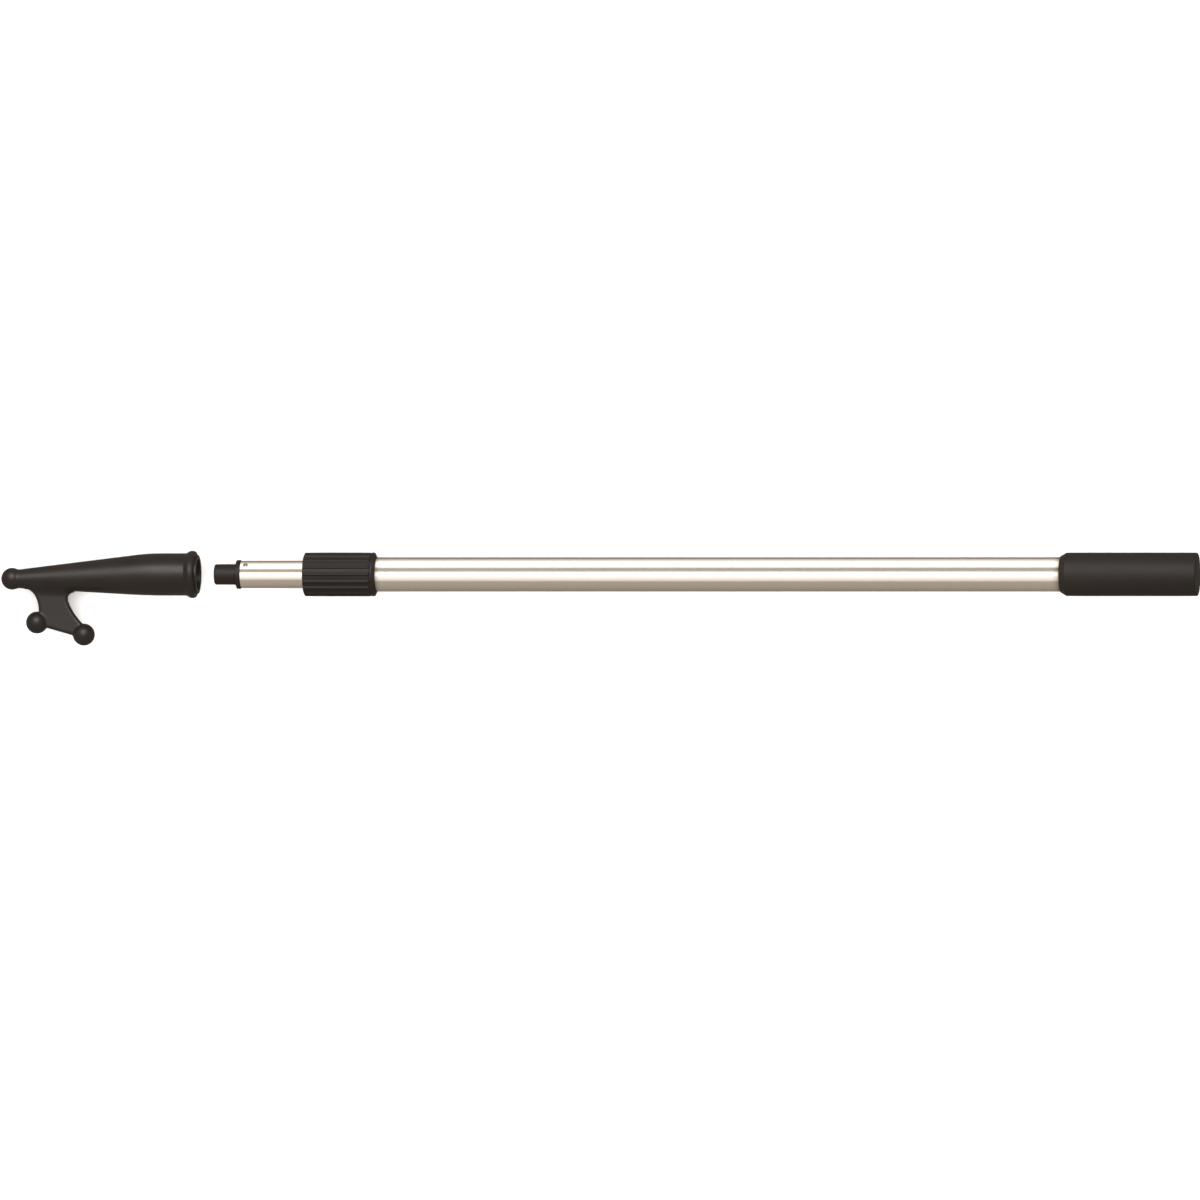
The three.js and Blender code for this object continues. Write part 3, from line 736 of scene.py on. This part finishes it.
def web_outline():
    """The flat web's outline in X and Y: two hook throats, with the prongs between them."""
    points = [(HEEL[0], WEB_ROOT_Y), (THROAT[0], WEB_ROOT_Y)]
    for a in np.linspace(math.pi / 2, 0, 12):
        points.append((THROAT[0] + THROAT_X * math.cos(a), THROAT[1] + THROAT_Y * math.sin(a)))
    points += [
        (MOUTH - 149.6 * MM, FRONT_BALL.y),
        (MOUTH - 143.2 * MM, -49.2 * MM),
        (MOUTH - 117.8 * MM, -56.5 * MM),
        (REAR_BALL.x, REAR_BALL.y),
    ]
    for t in np.linspace(0, 1, 10):
        points.append(tuple(REAR_START * (1 - t) ** 2 + REAR_BEND * 2 * t * (1 - t) + REAR_END * t**2))
    for a in np.linspace(math.radians(165), math.radians(90), 8):
        points.append((HEEL[0] + HEEL_RADIUS * math.cos(a), HEEL[1] + HEEL_RADIUS * math.sin(a)))
    return np.array(points)


WEB = web_outline()


def polygon_distance(x, y, corners):
    """Signed distance to a closed outline, below zero inside it."""
    best = np.full(x.shape, 1e9)
    inside = np.zeros(x.shape, bool)
    for (ax, ay), (bx, by) in zip(corners, np.roll(corners, -1, 0)):
        dx, dy = bx - ax, by - ay
        along = np.clip(((x - ax) * dx + (y - ay) * dy) / (dx * dx + dy * dy + 1e-18), 0, 1)
        best = np.minimum(best, (x - ax - along * dx) ** 2 + (y - ay - along * dy) ** 2)
        crosses = (ay > y) != (by > y)
        with np.errstate(divide="ignore", invalid="ignore"):
            inside ^= crosses & (x < (bx - ax) * (y - ay) / (by - ay) + ax)
    return np.where(inside, -1, 1) * np.sqrt(best)


def blend_of(one, two, size):
    """The union of two distance fields with a fillet of about this size between them."""
    share = np.clip(0.5 + 0.5 * (two - one) / size, 0, 1)
    return two + (one - two) * share - size * share * (1 - share)


def head_distance(p):
    """Distance to the head's outer surface: tapered body, web and three balls, with moulded fillets."""
    x, y, z = p.T
    along = (TUBE_END - x) / (TUBE_END - NECK_END)
    eased = np.where(along < SHOULDER, np.maximum(0, along + SHOULDER) ** 2 / (4 * SHOULDER), along)
    radius = TUBE_RADIUS - (TUBE_RADIUS - NECK_RADIUS) * eased
    drop = -NECK_DROP * np.maximum(0, along)
    slope = (TUBE_RADIUS - NECK_RADIUS) / (TUBE_END - NECK_END)
    body = (np.hypot(y - drop, z) - radius) * math.cos(math.atan(slope))
    body = np.maximum(body, (NECK_END - 5 * MM) - x)
    flat = polygon_distance(x, y, WEB)
    across = np.abs(z) - WEB_HALF + WEB_EDGE
    outward = np.hypot(np.maximum(flat + WEB_EDGE, 0), np.maximum(across, 0))
    web = np.minimum(np.maximum(flat + WEB_EDGE, across), 0) + outward - WEB_EDGE
    depth = np.clip(-flat / WEB_DEEP, 0, 1)
    made = blend_of(body, web, WEB_FILLET + WEB_FILLET_DEEP * depth)
    for centre, size in ((TIP_BALL, TIP_FILLET), (FRONT_BALL, PRONG_FILLET), (REAR_BALL, PRONG_FILLET)):
        made = blend_of(made, np.linalg.norm(p - np.array(centre), axis=1) - BALL, size)
    return made


def slopes(field, p, h=2e-5):
    """The field's gradient at each point."""
    return np.stack([(field(p + h * e) - field(p - h * e)) / (2 * h) for e in np.eye(3)], 1)


def onto(field, p, rounds=3):
    """Points moved along the field's slope until they lie on its surface."""
    for _ in range(rounds):
        g = slopes(field, p)
        p = p - (field(p) / np.maximum((g * g).sum(1), 1e-9))[:, None] * g
    return p


def net_surface(field, low, high, step):
    """A mesh of quads on a distance field's surface: one vertex in each cell that the surface crosses."""
    axes = [np.arange(a, b + step, step) for a, b in zip(low, high)]
    shape = tuple(len(a) for a in axes)
    grid = np.stack(np.meshgrid(*axes, indexing="ij"), -1).reshape(-1, 3)
    inside = (field(grid) < 0).reshape(shape)
    windows = [
        inside[i : shape[0] - 1 + i, j : shape[1] - 1 + j, k : shape[2] - 1 + k]
        for i in (0, 1)
        for j in (0, 1)
        for k in (0, 1)
    ]
    count = sum(w.astype(int) for w in windows)
    crossed = (count > 0) & (count < 8)
    index = np.full(crossed.shape, -1)
    index[crossed] = np.arange(crossed.sum())
    points = np.array(low) + (np.argwhere(crossed) + 0.5) * step
    faces = []
    for axis in range(3):
        a, b = (axis + 1) % 3, (axis + 2) % 3
        here = np.moveaxis(inside, (axis, a, b), (0, 1, 2))
        cell = np.moveaxis(index, (axis, a, b), (0, 1, 2))
        change = here[:-1, 1:-1, 1:-1].astype(int) - here[1:, 1:-1, 1:-1].astype(int)
        for sign in (1, -1):
            i, j, k = np.nonzero(change == sign)
            ring = [cell[i, j, k], cell[i, j + 1, k], cell[i, j + 1, k + 1], cell[i, j, k + 1]]
            faces.append(np.stack(ring[::sign], 1))
    return points, np.concatenate(faces)


def relaxed(field, points, faces, rounds=6):
    """The same mesh with its vertices evened out along the surface."""
    pairs = np.concatenate([faces[:, [i, (i + 1) % 4]] for i in range(4)])
    pairs = np.concatenate([pairs, pairs[:, ::-1]])
    number = np.bincount(pairs[:, 0], minlength=len(points))[:, None]
    points = onto(field, points, 4)
    for _ in range(rounds):
        total = np.zeros_like(points)
        np.add.at(total, pairs[:, 0], points[pairs[:, 1]])
        points = onto(field, points + 0.6 * (total / number - points), 1)
    return onto(field, points, 2)


def hook_head():
    """The moulding: a net over the blended shape, cut square near the mouth and carried on as turned rings."""
    reach = TUBE_RADIUS + NET_MARGIN
    low = (HEAD_LOW.x - NET_MARGIN, HEAD_LOW.y - NET_MARGIN, -reach)
    high = (CUT + 6 * MM, reach, reach)
    step = NET_STEP
    points, faces = net_surface(head_distance, low, high, step)
    points = relaxed(head_distance, points, faces)
    mesh = bpy.data.meshes.new("hook_head_fine")
    mesh.from_pydata(points.tolist(), [], faces.tolist())
    made = bmesh.new()
    made.from_mesh(mesh)
    bmesh.ops.bisect_plane(
        made,
        geom=made.verts[:] + made.edges[:] + made.faces[:],
        plane_co=(CUT, 0, 0),
        plane_no=(1, 0, 0),
        clear_outer=True,
        dist=0.05 * MM,
    )
    rim = [e for e in made.edges if e.is_boundary]
    for vertex in {v for e in rim for v in e.verts}:
        scale = TUBE_RADIUS / math.hypot(vertex.co.y, vertex.co.z)
        vertex.co = (CUT, vertex.co.y * scale, vertex.co.z * scale)

    corners = [
        (CUT + 1.5 * MM, TUBE_RADIUS, 0),
        (MOUTH - 11.3 * MM, TUBE_RADIUS, 3.0 * MM),
        (MOUTH - 7.6 * MM, BEAD - 0.3 * MM, 1.6 * MM),
        (MOUTH - 5.0 * MM, BEAD + 0.05 * MM, 1.8 * MM),
        (MOUTH - 2.3 * MM, BEAD - 0.9 * MM, 1.3 * MM),
        (MOUTH - 2.1 * MM, GROOVE, 0.4 * MM),
        (MOUTH - 1.7 * MM, LIP, 0.3 * MM),
        (MOUTH, LIP, 0.5 * MM),
        (MOUTH, RECESS_RADIUS, 0.5 * MM),
        (MOUTH - RECESS_DEPTH, RECESS_RADIUS, 0.2 * MM),
        (MOUTH - RECESS_DEPTH, SOCKET_RADIUS, 0.5 * MM),
        (MOUTH - SOCKET_DEPTH, SOCKET_RADIUS, 0.2 * MM),
        (MOUTH - SOCKET_DEPTH, CORE_MOUTH, 0),
        (MOUTH - CORE_TAPER_END, CORE_TIP, 1 * MM),
        (MOUTH - CORE_END, 0, 0),
    ]
    outline = rounded(corners)
    angles = [2 * math.pi * i / SEGMENTS for i in range(SEGMENTS)]
    rings = [
        [made.verts.new((x, r * math.cos(a), r * math.sin(a))) for a in angles]
        for x, r in outline[:-1]
    ]
    for one, two in zip(rings, rings[1:]):
        for i in range(SEGMENTS):
            j = (i + 1) % SEGMENTS
            made.faces.new((one[i], one[j], two[j], two[i]))
    peak = made.verts.new((outline[-1].x, 0, 0))
    for i in range(SEGMENTS):
        made.faces.new((rings[-1][i], rings[-1][(i + 1) % SEGMENTS], peak))
    first = [made.edges.get((rings[0][i], rings[0][(i + 1) % SEGMENTS])) for i in range(SEGMENTS)]
    bmesh.ops.bridge_loops(made, edges=rim + first)
    bmesh.ops.recalc_face_normals(made, faces=made.faces)
    made.to_mesh(mesh)
    made.free()
    piece = link("hook_head_fine", mesh, 40)
    return dress(piece, "nylon_black", "hook", "hook_head")


# ------------------------------------------------------------------ build
camera()
outer_tube()
inner_tube()
hand_grip()
tip_plug()
tip_rivets()
lock_collar()
hook_head()

slots = {part["node"]: part["material_slot"] for part in frame["record"]["subparts"]}
for node, piece in frame["nodes"].items():
    if not piece.hide_render:
        piece.data.materials.clear()
        piece.data.materials.append(SLOT_LOOKS[slots[node]])

shown = [piece for piece in bpy.context.scene.objects if piece.type == "MESH" and not piece.hide_render]
tubes = [piece for piece in shown if piece.data.materials[0] in (OUTER_TUBE, INNER_TUBE)]
studio(tubes, [piece for piece in shown if piece not in tubes], ground())
